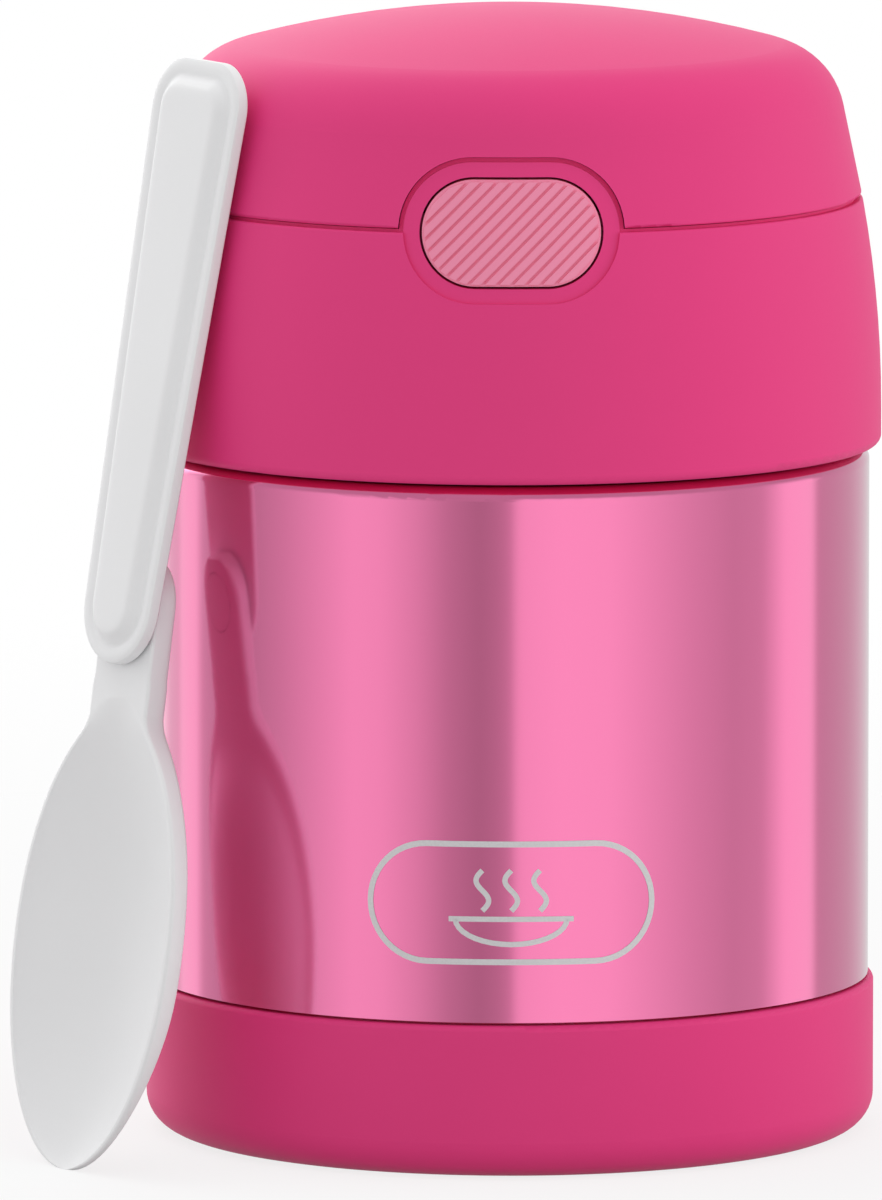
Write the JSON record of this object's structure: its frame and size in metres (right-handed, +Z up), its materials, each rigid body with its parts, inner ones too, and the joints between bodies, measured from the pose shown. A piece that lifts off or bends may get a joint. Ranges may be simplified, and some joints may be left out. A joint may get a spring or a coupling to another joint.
{
  "type": "insulated food jar",
  "caption": "Insulated steel food jar with a screw lid, a push-button pop-up cover over a spoon compartment, and a folding spoon.",
  "frame": {"origin": "centre of the jar's base on the surface it stands on", "axes": "+Z up along the jar's axis, -Y towards the latch button, +X to the right when facing the button"},
  "size_m": [0.1041, 0.0892, 0.1348],
  "materials": {
    "coated_steel": "glossy tinted coating over steel",
    "bare_steel": "satin",
    "seal_metal": "dull",
    "getter_metal": "sintered",
    "foil": "bright foil",
    "pink_plastic": "fine matte moulding",
    "button_plastic": "matte moulding with grip ribs",
    "white_plastic": "smooth moulding",
    "stopper_plastic": "smooth moulding",
    "foam": "closed-cell foam",
    "silicone": "soft silicone",
    "pin_steel": "drawn wire",
    "spring_steel": "drawn wire"
  },
  "bodies": {
    "jar": {"outer_shell": "coated_steel", "inner_vessel": "bare_steel", "shell_bottom": "bare_steel", "vacuum_seal": "seal_metal", "getter": "getter_metal", "foil_wrap": "foil", "base_cap": "pink_plastic"},
    "lid_seal": {"lid_gasket": "silicone"},
    "lid": {"lid_collar": "pink_plastic", "stopper_cup": "stopper_plastic", "stopper_foam": "foam", "spoon_tray": "pink_plastic", "hinge_pin": "pin_steel", "cover_spring": "spring_steel", "button_spring": "spring_steel"},
    "cover": {"cover": "pink_plastic"},
    "button": {"latch_button": "button_plastic", "latch_slide": "pink_plastic"},
    "spoon": {"spoon_bowl": "white_plastic"},
    "handle": {"spoon_handle": "white_plastic", "spoon_rivet": "white_plastic"}
  },
  "joints": [
    {"name": "lid_rise", "type": "slide", "parent": "jar", "child": "lid_seal", "axis": [0, 0, 1], "range_m": [0, 0.004]},
    {"name": "lid_turn", "type": "hinge", "parent": "lid_seal", "child": "lid", "pos_m": [0, 0, 0.0988], "axis": [0, 0, 1], "range_deg": [0, 360]},
    {"name": "cover_hinge", "type": "hinge", "parent": "lid", "child": "cover", "pos_m": [0, 0.0396, 0.11265], "axis": [-1, 0, 0], "range_deg": [0, 95], "deforming": ["cover_spring"]},
    {"name": "button_press", "type": "slide", "parent": "lid", "child": "button", "axis": [0, 1, 0], "range_m": [0, 0.002], "stiffness_N_per_m": 400, "deforming": ["button_spring"]},
    {"name": "spoon_tilt", "type": "hinge", "parent": "jar", "child": "spoon", "pos_m": [-0.05316, -0.0349, 0], "axis": [0.5736, -0.8192, 0], "range_deg": [0, 2.9]},
    {"name": "spoon_fold", "type": "hinge", "parent": "spoon", "child": "handle", "pos_m": [-0.0454, -0.02482, 0.06601], "axis": [0.8116, 0.5556, -0.1803], "range_deg": [-4, 176]}
  ],
  "couplings": [
    {"joint": "lid_rise", "follows": "lid_turn", "m_per_rad": 0.00063662},
    {"joint": "spoon_tilt", "follows": "cover_hinge", "ratio": 0.03}
  ]
}
